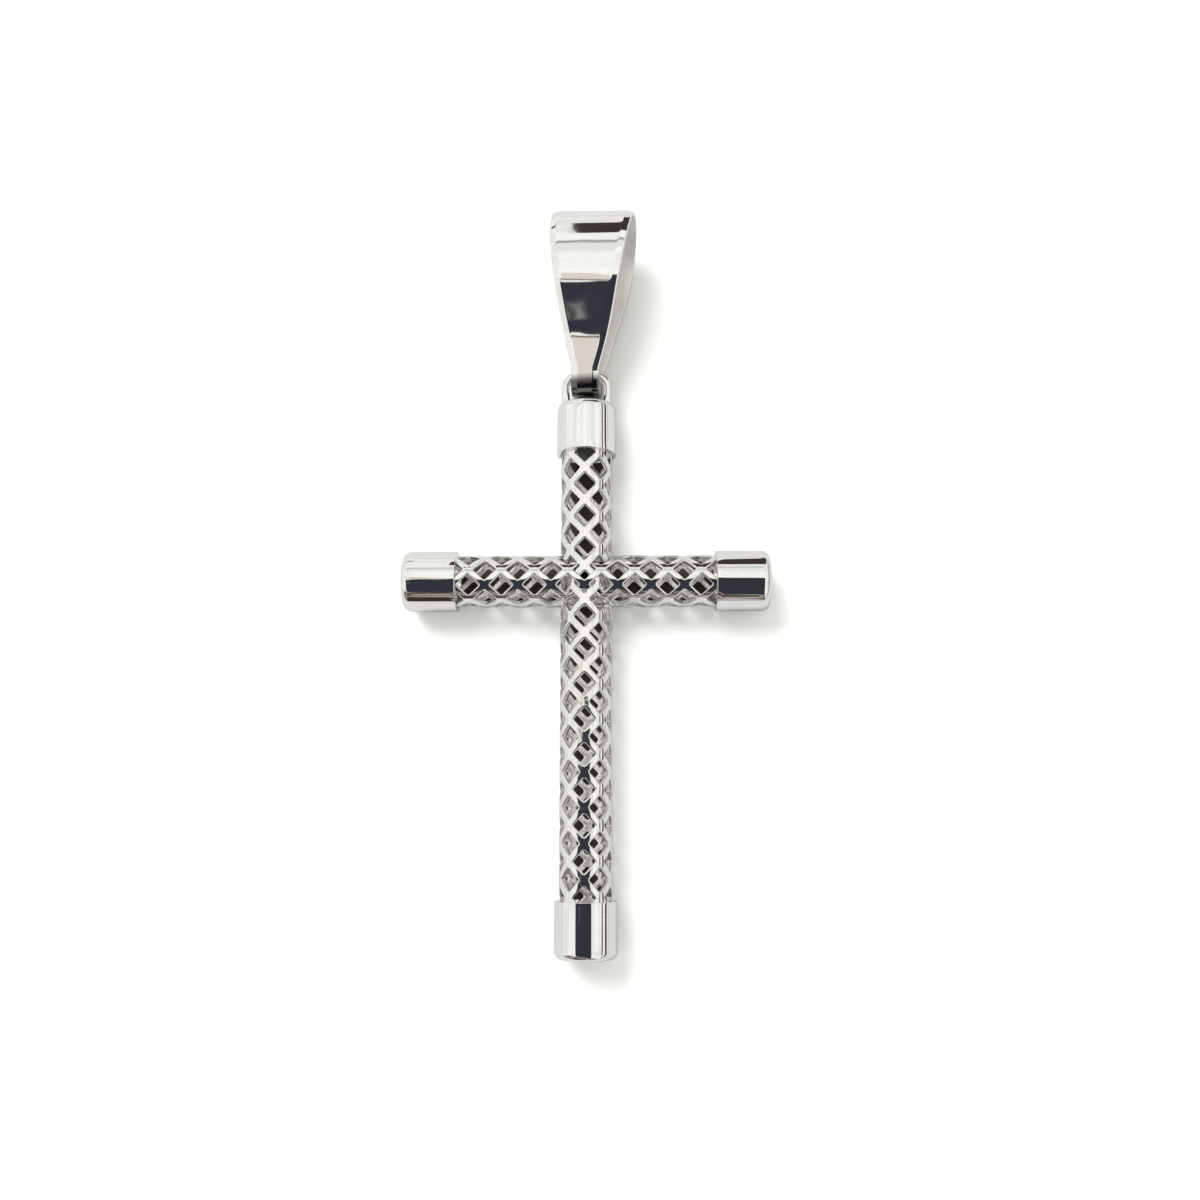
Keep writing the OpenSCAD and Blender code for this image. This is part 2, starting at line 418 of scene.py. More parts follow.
# %% [markdown]
# The finishes. One recipe makes each silver: a metal whose colour is nearly white, a little unevenness
# that bends the reflections as hand polishing does, and fine wear that shows in the roughness. Only
# the numbers differ between the mirror caps, the lattice, its unpolished bore and the bail's inside.
# Pictures of scratches could be laid on instead, but noise in millimetres needs no unwrapping.

# %% The silver recipe
FINE_SPOTS = 9.0
FINE_DETAIL = 4.0
FINE_ROUGHNESS = 0.65
DULL_SHARE = 0.93
DULL_UP_TO, BRIGHT_FROM = 0.3, 0.6
WEAR_FROM, WEAR_TO = 0.35, 0.7


def silver(name, colour, roughness, wear, wave, wave_size, grain=0.0, frost=0.0):
    """A silver finish. wave and grain are the heights of the broad and the fine unevenness and
    wave_size the width of a wave, in millimetres. frost is the share of the white bloom that pickling
    leaves on metal that no buff has reached."""
    material = bpy.data.materials.new(name)
    material.use_nodes = True
    tree = material.node_tree
    shader = tree.nodes["Principled BSDF"]
    shader.inputs["Metallic"].default_value = 1 - frost
    place = add_node(tree, "ShaderNodeTexCoord").outputs["Object"]
    in_mm = add_node(tree, "ShaderNodeVectorMath", {0: place, 3: 1 / MM}, operation="SCALE").outputs[0]
    broad = add_node(tree, "ShaderNodeTexNoise", {"Vector": in_mm, "Scale": 1 / wave_size, "Detail": 1.0})
    fine = add_node(tree, "ShaderNodeTexNoise", {"Vector": in_mm, "Scale": FINE_SPOTS,
                                                 "Detail": FINE_DETAIL, "Roughness": FINE_ROUGHNESS})
    dull = tuple(DULL_SHARE * part for part in colour)
    tone = add_ramp(tree, fine.outputs["Fac"], [(DULL_UP_TO, dull), (BRIGHT_FROM, colour)])
    tree.links.new(tone, shader.inputs["Base Color"])
    rough = add_node(tree, "ShaderNodeMapRange",
                     {"Value": fine.outputs["Fac"], "From Min": WEAR_FROM, "From Max": WEAR_TO,
                      "To Min": roughness, "To Max": roughness + wear})
    tree.links.new(rough.outputs[0], shader.inputs["Roughness"])
    bump = add_node(tree, "ShaderNodeBump",
                    {"Height": broad.outputs["Fac"], "Strength": 1.0, "Distance": wave * MM})
    if grain:
        bump = add_node(tree, "ShaderNodeBump", {"Height": fine.outputs["Fac"], "Strength": 1.0,
                                                 "Distance": grain * MM, "Normal": bump.outputs[0]})
    tree.links.new(bump.outputs[0], shader.inputs["Normal"])
    return material


cap_silver = silver("cap_mirror", (0.95, 0.945, 0.93), roughness=0.03, wear=0.05, wave=0.006, wave_size=2.5)
lattice_silver = silver("lattice_bright", (0.95, 0.945, 0.925), roughness=0.05, wear=0.07, wave=0.004,
                        wave_size=0.8)
bore_silver = silver("lattice_bore", (0.96, 0.925, 0.92), roughness=0.22, wear=0.12, wave=0.003,
                     wave_size=0.8, grain=0.0012, frost=0.36)
bail_silver = silver("bail_mirror", (0.95, 0.945, 0.93), roughness=0.03, wear=0.05, wave=0.014, wave_size=2.2)
bail_inside = silver("bail_inside", (0.86, 0.83, 0.81), roughness=0.3, wear=0.25, wave=0.03, wave_size=0.9,
                     grain=0.012, frost=0.25)
silvers = (cap_silver, lattice_silver, bore_silver, bail_silver, bail_inside)
print("silvers made:", [finish.name for finish in silvers])

# %% [markdown]
# Painted shade and a painted reflection. The photo is nearly black on the bail's fold under the eye
# and in the bore next to the top cap. In the bore the dark is painted shade, where little light gets in,
# and on the fold it is a painted dark reflection. The dark could be painted on by hand, but both places
# reach right across the pendant, so the colour is simply scaled down along Y.

# %% Paint shade into the upper bore and a dark reflection onto the fold
FOLD_PAINTED_REFLECTION = (13.55, 14.0)
BORE_PAINTED_SHADE = (10.9, 5.5)
PAINTED_DARK_KEPT = 0.16


def paint_shade_and_reflection(material, from_y, to_y, kept):
    """Paints shade and dark reflections into a finish: darkens it towards from_y, in millimetres, down to the
    kept share of its brightness.
    """
    tree = material.node_tree
    shader = tree.nodes["Principled BSDF"]
    tone = shader.inputs["Base Color"].links[0].from_socket
    place = add_node(tree, "ShaderNodeTexCoord").outputs["Object"]
    along = add_node(tree, "ShaderNodeSeparateXYZ", {0: place}).outputs["Y"]
    share = add_node(tree, "ShaderNodeMapRange",
                     {"Value": along, "From Min": from_y * MM, "From Max": to_y * MM,
                      "To Min": kept, "To Max": 1.0}).outputs[0]
    painted_dark = add_node(tree, "ShaderNodeVectorMath", {0: tone, 3: share}, operation="SCALE").outputs[0]
    tree.links.new(painted_dark, shader.inputs["Base Color"])
    print(material.name, "darkened towards y", from_y, "mm")


# Painted dark reflection on the bail's fold, and painted shade in the bore next to the top cap.
paint_shade_and_reflection(bail_silver, *FOLD_PAINTED_REFLECTION, PAINTED_DARK_KEPT)
paint_shade_and_reflection(bore_silver, *BORE_PAINTED_SHADE, PAINTED_DARK_KEPT)

# %% [markdown]
# The pierced tubes. A tube of diamonds could be cut from a pipe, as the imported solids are, but cut
# edges are knife sharp and a jeweller's are not: they are cast and tumbled, so every strip has a
# rounded shoulder that catches a bright line of light. So one diamond cell is drawn with that
# shoulder, as rows of points from the middle of a strip, over the shoulder, down the wall of the
# opening and back along the bore. The tube is that cell, repeated round and along.
# The opening comes first. It is a diamond with small round corners, and a quarter of it is enough:
# mirrored twice, it makes the whole loop.

# %% One opening's outline
OPENING_LENGTH = 1.56
OPENING_WIDTH = 1.48
CORNER_R = 0.1
CORNER_STEPS = 2
SIDE_STEPS = 2
OPENINGS_ROUND = 5
HALF_TURN = math.pi / OPENINGS_ROUND


def opening_quarter(grow):
    """A quarter of an opening's outline, grown sideways, from its tip to its flank, as (across, along)."""
    length, width = OPENING_LENGTH / 2, OPENING_WIDTH / 2
    side = math.hypot(length, width)
    square_to_side = math.atan2(width, length)
    tip = length - CORNER_R * side / width
    flank = width - CORNER_R * side / length
    radius = CORNER_R + grow
    tip_arc = [(radius * math.cos(a), tip + radius * math.sin(a))
               for a in np.linspace(math.pi / 2, square_to_side, CORNER_STEPS + 1)]
    flank_arc = [(flank + radius * math.cos(a), radius * math.sin(a))
                 for a in np.linspace(square_to_side, 0, CORNER_STEPS + 1)]
    start, end = np.array(tip_arc[-1]), np.array(flank_arc[0])
    straight = [tuple(start + (end - start) * step / SIDE_STEPS) for step in range(1, SIDE_STEPS)]
    return tip_arc + straight + flank_arc


def whole_loop(quarter):
    """The closed loop that a quarter makes when it is mirrored round."""
    loop = []
    for across, along, order in ((1, 1, 1), (1, -1, -1), (-1, -1, 1), (-1, 1, -1)):
        loop += [(across * x, along * u) for x, u in quarter[::order][:-1]]
    return np.array(loop)


def opening_row(grow, radius):
    """One row round an opening, as (turn, along, radius)."""
    loop = whole_loop(opening_quarter(grow))
    return np.column_stack([np.arcsin(loop[:, 0] / radius), loop[:, 1], np.full(len(loop), radius)])


def middle_row(pitch, radius):
    """The row along the middle of the four strips round an opening."""
    steps = 2 * CORNER_STEPS + SIDE_STEPS
    quarter = [(HALF_TURN * share, pitch / 2 * (1 - share)) for share in np.linspace(0, 1, steps + 1)]
    loop = whole_loop(quarter)
    return np.column_stack([loop, np.full(len(loop), radius)])


print("an opening's loop has", len(whole_loop(opening_quarter(0))), "points")

# %% [markdown]
# The cell. Its rows could be lofted by hand, point by point. Here each row is the same loop, grown by
# a little and set at its own radius, which is what rolls the shoulder over. Every row also says which
# finish the faces after it have: bright on the strips and walls, dull in the bore.

# %% One cell: rows of points and the finish of the faces after each row
TUBE_R = 1.8
BORE_R = 1.4
SHOULDER = 0.11
SHOULDER_STEPS = 3
INNER_SHOULDER = 0.03
BORE_FLARE = 0.02
FLAT_SHARES = (0.5, 0.86)
BRIGHT, DULL = 0, 1


def between(first, second, share):
    """The row that lies at a share of the way from the first row to the second."""
    return first + (second - first) * share


def open_cell(pitch):
    """The rows of a cell with its opening, which is wider by the flare where it meets the bore."""
    outer, rim = middle_row(pitch, TUBE_R), opening_row(SHOULDER, TUBE_R)
    inner, bore_rim = middle_row(pitch, BORE_R), opening_row(INNER_SHOULDER + BORE_FLARE, BORE_R)
    rows = [outer] + [between(outer, rim, share) for share in FLAT_SHARES] + [rim]
    for step in range(1, SHOULDER_STEPS + 1):
        bend = math.pi / 2 * step / SHOULDER_STEPS
        rows.append(opening_row(SHOULDER * (1 - math.sin(bend)), TUBE_R - SHOULDER * (1 - math.cos(bend))))
    rows.append(opening_row(BORE_FLARE, BORE_R + INNER_SHOULDER))
    finishes = [BRIGHT] * len(rows)
    rows += [bore_rim, between(bore_rim, inner, 0.5), inner]
    finishes += [DULL, DULL]
    return rows, finishes


def solid_cell(pitch, radius):
    """The rows of a cell without an opening, closed by one point in its middle."""
    edge = middle_row(pitch, radius)
    centre = np.array([0, 0, radius])
    return [edge, between(edge, centre, 0.5), between(edge, centre, 1)]


print("an open cell has", len(open_cell(pitch=1)[0]), "rows")

# %% [markdown]
# The tube. Five cells go round it, and every second ring is turned by half a cell, so the strips run
# on as spirals. At both ends the tube goes on without openings for two rings and is then cut square,
# as a jeweller saws off a pierced tube before its cap goes on. An array modifier could repeat the
# cells too, but a loop keeps each cell's place plain to read.

# %% The tube: cells repeated round and along, then trimmed square
END_COLLAR = 0.2
PLAIN_RINGS = 2
WELD = 1e-4
CUT_WELD = 1e-5
RIM_REACH = 1e-3


def join_rings(builder, ring, following, finish=BRIGHT):
    """The closed belt of faces between two rings that have the same number of points."""
    faces = []
    for i in range(len(ring)):
        j = (i + 1) % len(ring)
        face = builder.faces.new((ring[i], ring[j], following[j], following[i]))
        face.material_index = finish
        faces.append(face)
    return faces


def place_rows(builder, rows, finishes, turn, along):
    """Adds a cell's rows to the tube, turned and moved to its place."""
    rings = []
    for row in rows:
        angle = row[:, 0] + turn
        rings.append([builder.verts.new((radius * math.sin(a), y, radius * math.cos(a)))
                      for a, y, radius in zip(angle, row[:, 1] + along, row[:, 2])])
    for ring, following, finish in zip(rings, rings[1:], finishes):
        join_rings(builder, ring, following, finish)


def trim_end(builder, along, outward):
    """Cuts the tube square and closes its wall there."""
    everything = builder.verts[:] + builder.edges[:] + builder.faces[:]
    bmesh.ops.bisect_plane(builder, geom=everything, dist=CUT_WELD, plane_co=(0, along, 0),
                           plane_no=(0, outward, 0), clear_outer=True)
    rim = [edge for edge in builder.edges
           if edge.is_boundary and abs(edge.verts[0].co.y - along) < RIM_REACH]
    bmesh.ops.triangle_fill(builder, edges=rim, use_beauty=True, normal=(0, outward, 0))


def lattice_tube(low, high, pitch, shift, turn):
    """A pierced tube along Y, from low to high."""
    builder = bmesh.new()
    first = math.ceil((low + OPENING_LENGTH / 2 + END_COLLAR - shift) / pitch * 2)
    last = math.floor((high - OPENING_LENGTH / 2 - END_COLLAR - shift) / pitch * 2)
    open_rows, open_finishes = open_cell(pitch)
    for ring in range(first - PLAIN_RINGS, last + PLAIN_RINGS + 1):
        along = shift + ring * pitch / 2
        for j in range(OPENINGS_ROUND):
            angle = math.radians(turn) + 2 * HALF_TURN * (j + (ring % 2) / 2)
            if first <= ring <= last:
                place_rows(builder, open_rows, open_finishes, angle, along)
            else:
                place_rows(builder, solid_cell(pitch, TUBE_R), [BRIGHT] * 2, angle, along)
                place_rows(builder, solid_cell(pitch, BORE_R), [DULL] * 2, angle, along)
    bmesh.ops.remove_doubles(builder, verts=builder.verts, dist=WELD)
    trim_end(builder, low, -1)
    trim_end(builder, high, 1)
    bmesh.ops.recalc_face_normals(builder, faces=builder.faces)
    print("tube of", OPENINGS_ROUND * (last - first + 1), "openings,", len(builder.faces), "faces")
    return builder


# %% [markdown]
# The two tubes are soldered into one cross. Where they pass through each other the real casting is
# one piece of metal, so the tubes are united with a boolean and not just left overlapping: the pin
# holes at the crossing are what both lattices leave open.

# %% Unite the upright and the crossbar
UPRIGHT_PITCH = 2.33
UPRIGHT_SHIFT = -0.39
UPRIGHT_TURN = -2.5
ARM_PITCH = 2.28
ARM_SHIFT = -0.09
ARM_TURN = -17.5
TUBE_GRIP = 1.5


def as_mesh_object(name, builder):
    """A scratch object that still has its size in millimetres."""
    mesh = bpy.data.meshes.new(name)
    builder.to_mesh(mesh)
    builder.free()
    for material in (lattice_silver, bore_silver):
        mesh.materials.append(material)
    scratch = bpy.data.objects.new(name, mesh)
    bpy.context.scene.collection.objects.link(scratch)
    return scratch


def united(first, second):
    """The union of two closed scratch objects, as a bmesh in millimetres."""
    join = first.modifiers.new("join", "BOOLEAN")
    join.operation = "UNION"
    join.solver = "MANIFOLD"
    join.object = second
    bpy.context.view_layer.update()
    result = first.evaluated_get(bpy.context.evaluated_depsgraph_get()).to_mesh()
    builder = bmesh.new()
    builder.from_mesh(result)
    for scratch in (first, second):
        bpy.data.objects.remove(scratch)
    print("united:", len(builder.faces), "faces")
    return builder


upright_tube = lattice_tube(bottom_high[1] - crossing[1] - TUBE_GRIP, top_low[1] - crossing[1] + TUBE_GRIP,
                            UPRIGHT_PITCH, UPRIGHT_SHIFT, UPRIGHT_TURN)
crossbar_tube = lattice_tube(left_high[0] - TUBE_GRIP, right_low[0] + TUBE_GRIP,
                             ARM_PITCH, ARM_SHIFT, ARM_TURN)
bmesh.ops.rotate(crossbar_tube, cent=(0, 0, 0), matrix=Matrix.Rotation(-math.pi / 2, 3, "Z"),
                 verts=crossbar_tube.verts)
lattice_builder = united(as_mesh_object("upright_scratch", upright_tube),
                         as_mesh_object("crossbar_scratch", crossbar_tube))
bmesh.ops.translate(lattice_builder, vec=crossing, verts=lattice_builder.verts)

# %% [markdown]
# Smooth but crisp. Metal that was tumbled is round at its shoulders and still has true corners, for
# instance at a cap's rim. Smoothing everything would blur those, so edges that bend more than a given
# angle stay sharp, and the shading leans towards the larger faces, which keeps flat parts flat.

# %% Shade the lattice and put it in its place
LATTICE_CORNER = 50


def shade(piece, corner):
    """Smooth shading that leaves edges sharper than corner degrees crisp."""
    piece.data.shade_smooth()
    piece.data.set_sharp_from_angle(angle=math.radians(corner))
    weight = piece.modifiers.new("even_normals", "WEIGHTED_NORMAL")
    weight.keep_sharp = True
    return piece


lattice = finish_mesh("pierced_cross", lattice_builder, [lattice_silver, bore_silver])
shade(lattice, LATTICE_CORNER)
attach(lattice, "cross")
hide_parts("lattice_upright", "lattice_arm_left", "lattice_arm_right")
print("pierced_cross:", len(lattice.data.polygons), "faces")

# %% [markdown]
# The caps. Each is a cup turned on a lathe, so it is made the same way here: half of its outline is
# swept round the axis. A revolved outline can have the small worn rounding at the rim and at the end
# that a plain cylinder lacks, and these roundings draw the caps' bright rims.

# %% Turn a cup's outline round its axis
CAP_ROUND = 0.55
CAP_ROUND_STEPS = 12
CAP_END = 0.5
CAP_BORE_R = 1.82
RIM_ROUND = 0.05
RIM_STEPS = 4
SIDE_ROWS = 8
END_ROWS = 3
AXIS_RING_R = 0.05


def arc(centre, radius, start, end, steps):
    """Points on an arc, from start to end in degrees, as (out, up)."""
    return [(centre[0] + radius * math.cos(a), centre[1] + radius * math.sin(a))
            for a in np.radians(np.linspace(start, end, steps + 1))]


def cup_outline():
    """Half of a cup's outline, from the middle of its end, round the outside and in to its floor."""
    round_up, round_out = cap_length - CAP_ROUND, cap_radius - CAP_ROUND
    end = [(out, cap_length) for out in np.linspace(AXIS_RING_R, round_out, END_ROWS)[:-1]]
    shoulder = arc((round_out, round_up), CAP_ROUND, 90, 0, CAP_ROUND_STEPS)
    side = [(cap_radius, up) for up in np.linspace(round_up, RIM_ROUND, SIDE_ROWS + 1)[1:-1]]
    outer_rim = arc((cap_radius - RIM_ROUND, RIM_ROUND), RIM_ROUND, 0, -90, RIM_STEPS)
    inner_rim = [(CAP_BORE_R + RIM_ROUND / 2, 0), (CAP_BORE_R, RIM_ROUND / 2)]
    floor = [(CAP_BORE_R, cap_length - CAP_END), (AXIS_RING_R, cap_length - CAP_END)]
    return end + shoulder + side + outer_rim + inner_rim + floor


def full_turn(steps):
    """The angles of one turn, without its first angle again at the end."""
    return np.linspace(0, 2 * math.pi, steps, endpoint=False)


def turned(outline, segments):
    """A solid turned from an outline round Z, closed at both ends by a point on the axis."""
    builder = bmesh.new()
    rings = []
    for out, up in outline:
        rings.append([builder.verts.new((out * math.cos(a), out * math.sin(a), up))
                      for a in full_turn(segments)])
    for ring, following in zip(rings, rings[1:]):
        join_rings(builder, ring, following)
    for ring, up in ((rings[0], outline[0][1]), (rings[-1], outline[-1][1])):
        tip = builder.verts.new((0, 0, up))
        for i in range(segments):
            builder.faces.new((ring[i], ring[(i + 1) % segments], tip))
    bmesh.ops.recalc_face_normals(builder, faces=builder.faces)
    return builder


print("a cup's outline has", len(cup_outline()), "points")

# %% [markdown]
# Three of the cups are plain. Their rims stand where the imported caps' rims are, and their closed ends
# point outwards along the tube that they close. They differ in nothing but place and direction, so a
# loop makes them. Copies that share one mesh would do as well.

# %% Set the three plain caps
CAP_SEGMENTS = 120
PLAIN_CORNER = 60


def cup(rim_middle, outward):
    """A cup at its place: the middle of its rim and the direction of its closed end."""
    builder = turned(cup_outline(), CAP_SEGMENTS)
    turn = Vector((0, 0, 1)).rotation_difference(Vector(outward)).to_matrix()
    bmesh.ops.rotate(builder, cent=(0, 0, 0), matrix=turn, verts=builder.verts)
    bmesh.ops.translate(builder, vec=rim_middle, verts=builder.verts)
    return builder


cap_places = {
    "left_cap": ((left_high[0], crossing[1], crossing[2]), (-1, 0, 0)),
    "right_cap": ((right_low[0], crossing[1], crossing[2]), (1, 0, 0)),
    "bottom_cap": ((crossing[0], bottom_high[1], crossing[2]), (0, -1, 0)),
}
for node, (rim_middle, outward) in cap_places.items():
    cap = shade(finish_mesh(node + "_cup", cup(rim_middle, outward), [cap_silver]), PLAIN_CORNER)
    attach(cap, "cross")
    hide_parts(node)
    print(cap.name, len(cap.data.polygons), "faces")

# %% [markdown]
# The top cap carries the eye, a stirrup of round wire soldered to its end. A curve with a round bevel
# would draw the wire, but it has to be one piece of metal with the cap, so the wire is swept as a
# mesh, gets a small cone of solder at each foot, and is united with the cup.

# %% Sweep the wire eye
EYE_WIRE_R = 0.3
EYE_LEG_X = 1.53
EYE_BEND = 0.95
EYE_RISE = 2.25
EYE_ROOT = 0.25
EYE_TOE_IN = 0.1
WIRE_SIDES = 24
BEND_STEPS = 12
LEG_STEPS = 7


def eye_path():
    """The middle of the wire, from the left foot over the bar to the right foot, as (x, y)."""
    bar_half = EYE_LEG_X - EYE_BEND
    leg = EYE_RISE + EYE_ROOT - EYE_BEND
    left = [(EYE_TOE_IN * (1 - share) ** 2 - EYE_LEG_X, -EYE_BEND - leg * (1 - share))
            for share in np.linspace(0, 1, LEG_STEPS + 1)[:-1]]
    left += arc((-bar_half, -EYE_BEND), EYE_BEND, 180, 90, BEND_STEPS)
    right = [(-x, y) for x, y in left[::-1]]
    return left + right


def swept_wire(path, radius, sides):
    """A closed round wire along a flat path in the XY plane."""
    builder = bmesh.new()
    points = [Vector((x, y, 0)) for x, y in path]
    upright = Vector((0, 0, 1))
    rings = []
    for i, point in enumerate(points):
        ahead = points[min(i + 1, len(points) - 1)] - points[max(i - 1, 0)]
        across = Vector((-ahead.y, ahead.x, 0)).normalized()
        rings.append([builder.verts.new(point + radius * (math.cos(a) * across + math.sin(a) * upright))
                      for a in full_turn(sides)])
    for ring, following in zip(rings, rings[1:]):
        join_rings(builder, ring, following)
    builder.faces.new(rings[0][::-1])
    builder.faces.new(rings[-1])
    bmesh.ops.recalc_face_normals(builder, faces=builder.faces)
    return builder


print("the wire's path has", len(eye_path()), "points")

# %% [markdown]
# Solder runs a little way up the wire and leaves a hollow flare. That is a turned shape again: a
# quarter of a circle, bent inwards, swept round the leg. It starts inside the cap's end and so does
# the wire, which gives the boolean a clean crossing instead of two faces that only touch.

# %% Unite the eye, its solder and the top cap
SOLDER_REACH = 0.22
SOLDER_STEPS = 6
SOLDER_CORE = 0.6
FOOT_TOE_SHARE = 0.7


def solder_foot(x):
    """A flared foot of solder round one leg, from inside the cap's end up the wire."""
    flare = [(AXIS_RING_R, -EYE_ROOT), (EYE_WIRE_R + SOLDER_REACH, -EYE_ROOT)]
    flare += [(EYE_WIRE_R + SOLDER_REACH * (1 - math.sin(a)), SOLDER_REACH * (1 - math.cos(a)))
              for a in np.linspace(0, math.pi / 2, SOLDER_STEPS + 1)]
    flare += [(EYE_WIRE_R * SOLDER_CORE, SOLDER_REACH)]
    builder = turned(flare, WIRE_SIDES)
    bmesh.ops.rotate(builder, cent=(0, 0, 0), matrix=Matrix.Rotation(-math.pi / 2, 3, "X"),
                     verts=builder.verts)
    bmesh.ops.translate(builder, vec=(x, -EYE_RISE, 0), verts=builder.verts)
    return builder


cap_end_y = top_low[1] + cap_length
eye_middle = (crossing[0], cap_end_y + EYE_RISE, crossing[2])
top_builder = cup((crossing[0], top_low[1], crossing[2]), (0, 1, 0))
foot_x = EYE_LEG_X - EYE_TOE_IN * FOOT_TOE_SHARE
eye_parts = [swept_wire(eye_path(), EYE_WIRE_R, WIRE_SIDES), solder_foot(-foot_x), solder_foot(foot_x)]
for part in eye_parts:
    bmesh.ops.translate(part, vec=eye_middle, verts=part.verts)
    top_builder = united(as_mesh_object("cap_scratch", top_builder), as_mesh_object("eye_scratch", part))
top_cap = shade(finish_mesh("top_cap_and_eye", top_builder, [cap_silver]), PLAIN_CORNER)
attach(top_cap, "cross")
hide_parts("top_cap")
print("top_cap_and_eye:", len(top_cap.data.polygons), "faces")

# %% [markdown]
# The bail. A silversmith saws a long leaf shape from sheet, planishes its edges down, and folds it
# over a mandrel until its two narrow ends meet round the eye. A curve with a flat bevel could stand
# for it, but its taper would thin the sheet together with its width. So the side view is a closed
# path of arcs and slightly hollow flanks, and a cross-section of the strap is carried along it.
# First the side view. The fold goes round the eye, a hollow flank leads to a slow bend, and the belly
# leads over to the roll. The other half is the same, mirrored.

# %% The bail's side view, as points with their outward direction
FOLD_R = 1.05
ROLL_R = 2.4
BAIL_SPAN = 10.2
BELLY_R = 5.4
BELLY_HALF = 2.85
SLOW_R = 7.8
FOLD_DISH = math.radians(4.6)
BELLY_DISH = math.radians(5.6)
DISH_FROM, DISH_TO = 0.42, 0.68
FOLD_STEPS, FLANK_STEPS, SLOW_STEPS, BELLY_STEPS, ROLL_STEPS = 20, 24, 16, 12, 24
BELLY_OFF = BELLY_R - BELLY_HALF
BELLY_SPAN = BAIL_SPAN - math.sqrt((BELLY_R - ROLL_R) ** 2 - BELLY_OFF ** 2)
FLANK_TURN = (math.atan2(BELLY_SPAN, BELLY_OFF)
              - math.acos((BELLY_R - FOLD_R) / math.hypot(BELLY_SPAN, BELLY_OFF)))
ROLL_TURN = math.atan2(BAIL_SPAN - BELLY_SPAN, BELLY_OFF)


def side_arc(centre, radius, start, end, steps):
    """Points on an arc of the side view: (along, out, direction), the direction from straight out."""
    return [(centre[0] + radius * math.sin(a), centre[1] + radius * math.cos(a), a)
            for a in np.linspace(start, end, steps + 1)]


def dished_flank(start, end, steps):
    """The slightly hollow stretch between two points of the side view, steeper towards its end."""
    shares = np.linspace(0, 1, steps + 1)
    turns = np.interp(shares, (0, DISH_FROM, DISH_TO, 1), (start[2], start[2], end[2], end[2]))
    middles = (turns[1:] + turns[:-1]) / 2
    stride = math.hypot(end[0] - start[0], end[1] - start[1]) / steps
    strides = np.column_stack([np.cos(middles), -np.sin(middles)]) * stride
    path = np.array(start[:2]) + np.cumsum(strides, axis=0)
    slack = np.array(end[:2]) - path[-1]
    flank = [(*(point + slack * share), turn) for point, share, turn in zip(path, shares[1:], turns[1:])]
    return flank[:-1]


def bail_side():
    """The front half of the side view, from the bottom of the fold to the top of the roll."""
    fold = side_arc((0, 0), FOLD_R, -math.pi / 2, FOLD_DISH - FLANK_TURN, FOLD_STEPS)
    slow = side_arc((BELLY_SPAN, BELLY_R - BELLY_OFF - SLOW_R), SLOW_R, -FLANK_TURN - BELLY_DISH, 0,
                    SLOW_STEPS)
    belly = side_arc((BELLY_SPAN, -BELLY_OFF), BELLY_R, 0, ROLL_TURN, BELLY_STEPS)
    roll = side_arc((BAIL_SPAN, 0), ROLL_R, ROLL_TURN, math.pi / 2, ROLL_STEPS)
    return fold + dished_flank(fold[-1], slow[0], FLANK_STEPS) + slow + belly[1:] + roll[1:]


print("half of the bail's side view has", len(bail_side()), "points")

# %% [markdown]
# Then the strap. Seen from the front its edges are two long, gently bowed lines, narrow at the neck
# and wide at the roll, so each edge is one arc of a very large circle. Across, the strap has a flat
# face and sloping margins, planished down, which catch the light as a pale frame, and its edges are
# a little rounded. A bevel modifier would round them too, but not slope the margins.

# %% The strap's width and its cross-section
STRAP = 0.35
FOLD_WIDTH = 2.0
FOLD_NECK = 0.9
ROLL_WIDTH = 5.86
EDGE_R = 55
MARGIN = 0.45
MARGIN_DROP = 0.11
FACE_SHARES = (0, 0.5, 0.9)
FACE_EDGE = ((-0.03, 0), (0.02, 0.006), (0.07, 0.02))
OUTER_EDGE = ((-0.12, MARGIN_DROP * 0.8), (-0.05, MARGIN_DROP), (-0.012, MARGIN_DROP + 0.03),
              (0, MARGIN_DROP + 0.07))
INNER_EDGE = ((0, STRAP - 0.04), (-0.012, STRAP - 0.012), (-0.04, STRAP))
INSIDE_SHARES = (0.5, 0)


def half_width(along):
    """Half the strap's width at a height above the fold: narrow up to the neck, then along the arc."""
    if along < FOLD_NECK:
        return FOLD_WIDTH / 2
    rise = np.array([ROLL_WIDTH / 2 - FOLD_WIDTH / 2, BAIL_SPAN + ROLL_R - FOLD_NECK])
    chord = np.linalg.norm(rise)
    sag_arm = math.sqrt(EDGE_R ** 2 - (chord / 2) ** 2)
    square_to_rise = np.array([-rise[1], rise[0]])
    centre = np.array([FOLD_WIDTH / 2, FOLD_NECK]) + rise / 2 + sag_arm / chord * square_to_rise
    return centre[0] + math.sqrt(EDGE_R ** 2 - (along - centre[1]) ** 2)


def strap_section(half):
    """Half of the section, from the middle of the face over the edge to the middle of the inside, as
    (across, depth below the face). The edges' small roundings are measured from the edge of the flat
    face and from the side of the strap."""
    face = half - MARGIN
    section = [(face * share, 0) for share in FACE_SHARES]
    section += [(face + across, depth) for across, depth in FACE_EDGE]
    section += [(half + across, depth) for across, depth in OUTER_EDGE + INNER_EDGE]
    section += [(half * share, STRAP) for share in INSIDE_SHARES]
    return section


print("the strap is", FOLD_WIDTH, "mm wide at the fold and", ROLL_WIDTH, "mm at the roll")

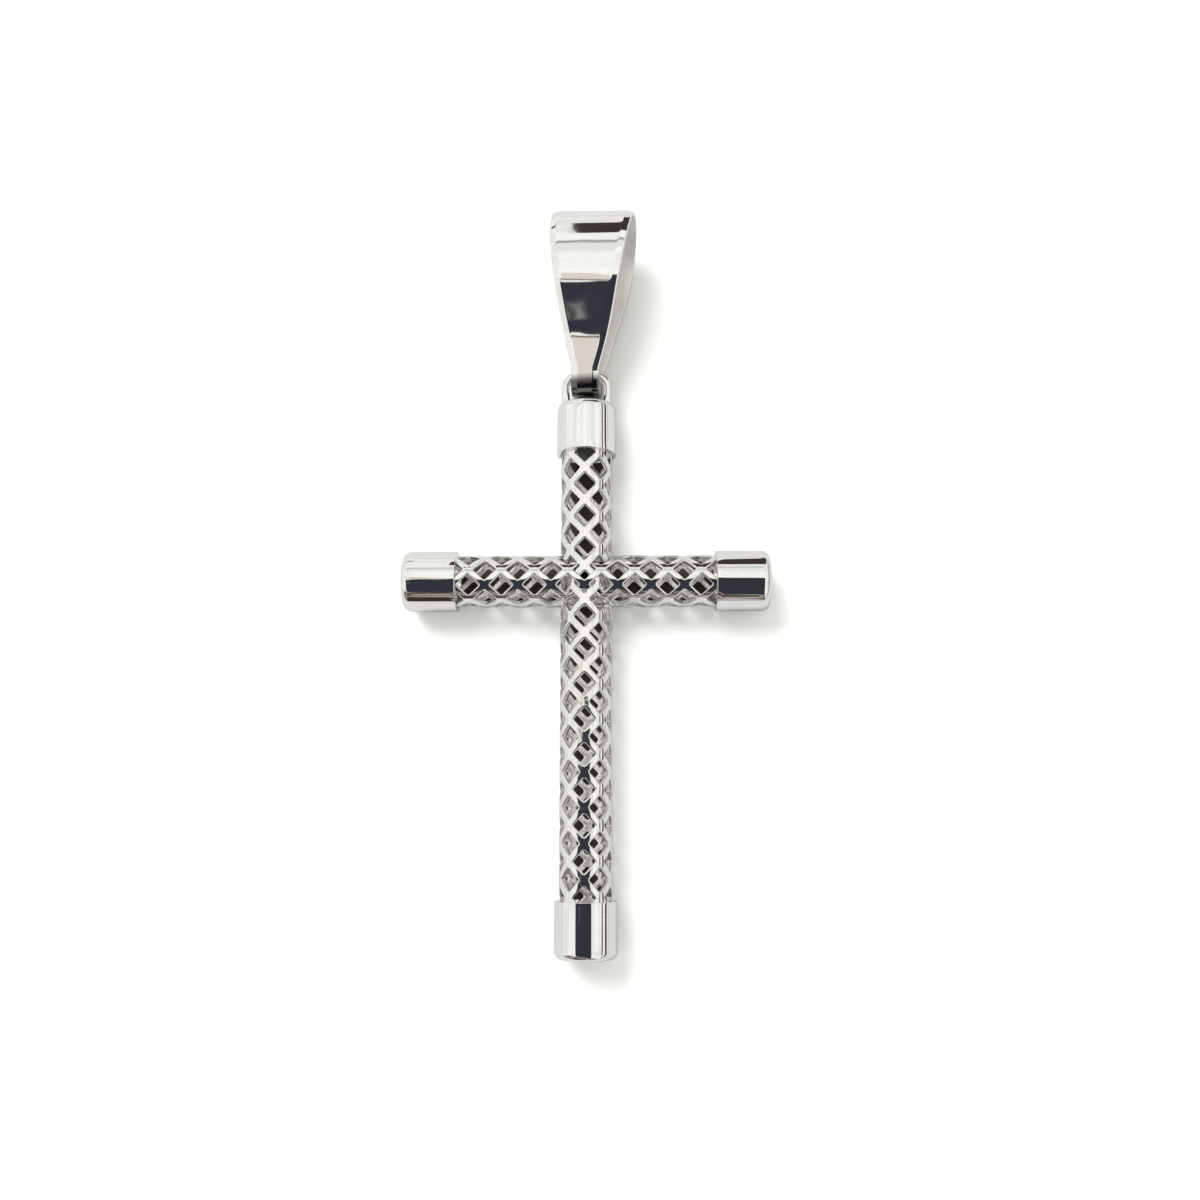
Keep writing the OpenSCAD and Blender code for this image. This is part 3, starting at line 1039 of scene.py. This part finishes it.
# %% [markdown]
# Now the strap is carried round the side view, ring by ring, and closed on itself. The real strap's
# ends must meet somewhere, but the photo shows no seam, so none is made. The faces between the
# section's last points are the inside, and they get the duller finish.

# %% Carry the strap round
def bail_builder():
    """The strap carried round the side view and closed on itself."""
    front = bail_side()
    back = [(along, -out, math.pi - direction) for along, out, direction in front[-2:0:-1]]
    builder = bmesh.new()
    rings = []
    for along, out, direction in front + back:
        section = strap_section(half_width(along))
        outline = section + [(-across, depth) for across, depth in section[-2:0:-1]]
        outward = Vector((0, math.sin(direction), math.cos(direction)))
        point = Vector((0, along, out))
        rings.append([builder.verts.new(point + Vector((across, 0, 0)) - outward * depth)
                      for across, depth in outline])
    middle = len(rings[0]) // 2
    inside_half = len(INSIDE_SHARES)
    for ring, following in zip(rings, rings[1:] + rings[:1]):
        faces = join_rings(builder, ring, following)
        for face in faces[middle - inside_half:middle + inside_half]:
            face.material_index = DULL
    bmesh.ops.recalc_face_normals(builder, faces=builder.faces)
    return builder


bail_mesh = bail_builder()
print("the bail has", len(bail_mesh.faces), "faces")

# %% [markdown]
# The bail hangs loose on the eye, so in the photo it has slid down a little and lies turned, leaning
# and tilted. These three turns and the slip were fitted to its outline. Parenting it to a turned
# empty would do as well, but the turns are put into the mesh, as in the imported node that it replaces.

# %% Hang the bail on the eye's bar
BAIL_TURN = -7.5
BAIL_LEAN = -2.9
BAIL_TILT = 7.4
FOLD_DROP = 0.62

lean = Matrix.Rotation(math.radians(BAIL_LEAN), 4, "Z")
tilt = Matrix.Rotation(math.radians(BAIL_TILT), 4, "X")
turn = Matrix.Rotation(math.radians(BAIL_TURN), 4, "Y")
bail_place = Matrix.Translation((eye_middle[0], eye_middle[1] - FOLD_DROP, eye_middle[2]))
bmesh.ops.transform(bail_mesh, matrix=bail_place @ (lean @ tilt @ turn), verts=bail_mesh.verts)
bail = shade(finish_mesh("folded_bail", bail_mesh, [bail_silver, bail_inside]), PLAIN_CORNER)
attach(bail, "bail")
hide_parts("bail")
print("folded_bail:", len(bail.data.polygons), "faces")
